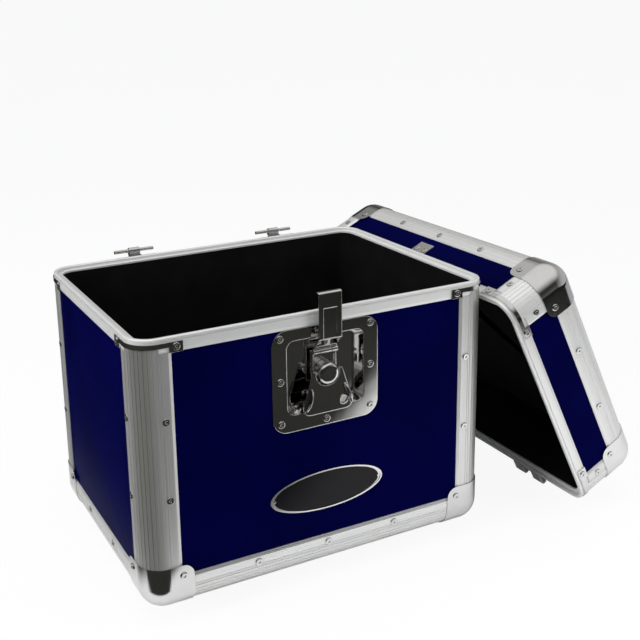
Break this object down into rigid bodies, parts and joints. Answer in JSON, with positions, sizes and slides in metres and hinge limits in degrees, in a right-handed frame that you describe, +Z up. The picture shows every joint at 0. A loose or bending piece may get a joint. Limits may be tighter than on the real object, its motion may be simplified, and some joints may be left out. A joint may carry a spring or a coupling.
{
  "type": "record carrying case",
  "caption": "Carrying case for records: laminated panels in aluminium extrusions with ball corners, a recessed twist latch and a lift-off hinged lid leaning beside the box.",
  "frame": {"origin": "on the floor, under the middle of the box", "axes": "+Z up; -Y out of the front with the latch; +X to the side where the lid leans"},
  "size_m": [0.5473, 0.3662, 0.289],
  "materials": {
    "laminate": "gloss",
    "aluminium": "satin",
    "rivet_steel": "polished",
    "chrome": "mirror",
    "felt": "matte",
    "rubber": "matte",
    "grip_plastic": "matte",
    "badge": "gloss with a bright ring",
    "steel": "plated",
    "zinc_plate": "zinc plated"
  },
  "bodies": {
    "base": {"badge_pins": "steel", "base_back_panel": "laminate", "base_ball_corner_back_left": "chrome", "base_ball_corner_back_right": "chrome", "base_ball_corner_front_left": "chrome", "base_ball_corner_front_right": "chrome", "base_bottom_panel": "laminate", "base_corner_extrusion_back_left": "aluminium", "base_corner_extrusion_back_right": "aluminium", "base_corner_extrusion_front_left": "aluminium", "base_corner_extrusion_front_right": "aluminium", "base_edge_extrusion_back": "aluminium", "base_edge_extrusion_front": "aluminium", "base_edge_extrusion_left": "aluminium", "base_edge_extrusion_right": "aluminium", "base_floor_pad": "felt", "base_front_panel": "laminate", "base_hinge_leaves": "zinc_plate", "base_hinge_pins": "steel", "base_left_panel": "laminate", "base_lining": "felt", "base_right_panel": "laminate", "base_rim": "aluminium", "base_rim_brackets": "chrome", "base_rivets": "rivet_steel", "foot_screws": "steel", "latch_dish": "chrome", "latch_rivets": "rivet_steel", "name_badge": "badge", "rubber_feet": "rubber"},
    "handle": {"handle_bail": "zinc_plate", "handle_grip": "grip_plastic"},
    "lid": {"handle_brackets": "zinc_plate", "lid_back_panel": "laminate", "lid_ball_corners": "chrome", "lid_corner_extrusion_back_left": "aluminium", "lid_corner_extrusion_back_right": "aluminium", "lid_corner_extrusion_front_left": "aluminium", "lid_corner_extrusion_front_right": "aluminium", "lid_edge_extrusion_back": "aluminium", "lid_edge_extrusion_front": "aluminium", "lid_edge_extrusion_left": "aluminium", "lid_edge_extrusion_right": "aluminium", "lid_front_panel": "laminate", "lid_hinge_hooks": "zinc_plate", "lid_keeper": "zinc_plate", "lid_left_panel": "laminate", "lid_lining": "felt", "lid_right_panel": "laminate", "lid_rim": "aluminium", "lid_rim_brackets": "chrome", "lid_rivets": "rivet_steel", "lid_top_panel": "laminate"},
    "latch_drive": {"hook_pin": "steel", "latch_drive_plate": "chrome"},
    "latch_hook": {"latch_hook": "chrome"},
    "latch_spindle": {"latch_spindle": "chrome", "wing_pin": "steel"},
    "latch_wing": {"latch_wing": "chrome"}
  },
  "joints": [
    {"name": "lid_lift", "type": "slide", "parent": "base", "child": "lid", "axis": [0.7071, 0, 0.7071], "range_m": [0, 0.3]},
    {"name": "latch_turn", "type": "hinge", "parent": "base", "child": "latch_spindle", "pos_m": [0, -0.1322, 0.211], "axis": [0, -1, 0], "range_deg": [0, 180]},
    {"name": "wing_flip", "type": "hinge", "parent": "latch_spindle", "child": "latch_wing", "pos_m": [0, -0.1322, 0.211], "axis": [-1, 0, 0], "range_deg": [0, 90]},
    {"name": "drive_lift", "type": "slide", "parent": "base", "child": "latch_drive", "axis": [0, 0, 1], "range_m": [0, 0.0045]},
    {"name": "hook_tilt", "type": "hinge", "parent": "latch_drive", "child": "latch_hook", "pos_m": [0, -0.1302, 0.231], "axis": [1, 0, 0], "range_deg": [0, 25]},
    {"name": "handle_swing", "type": "hinge", "parent": "lid", "child": "handle", "pos_m": [0.32096, 0.0208, 0.17024], "axis": [0, -1, 0], "range_deg": [0, 180]}
  ],
  "couplings": [
    {"joint": "wing_flip", "follows": "latch_turn", "ratio": 0.5},
    {"joint": "drive_lift", "follows": "latch_turn", "m_per_rad": 0.001432}
  ]
}
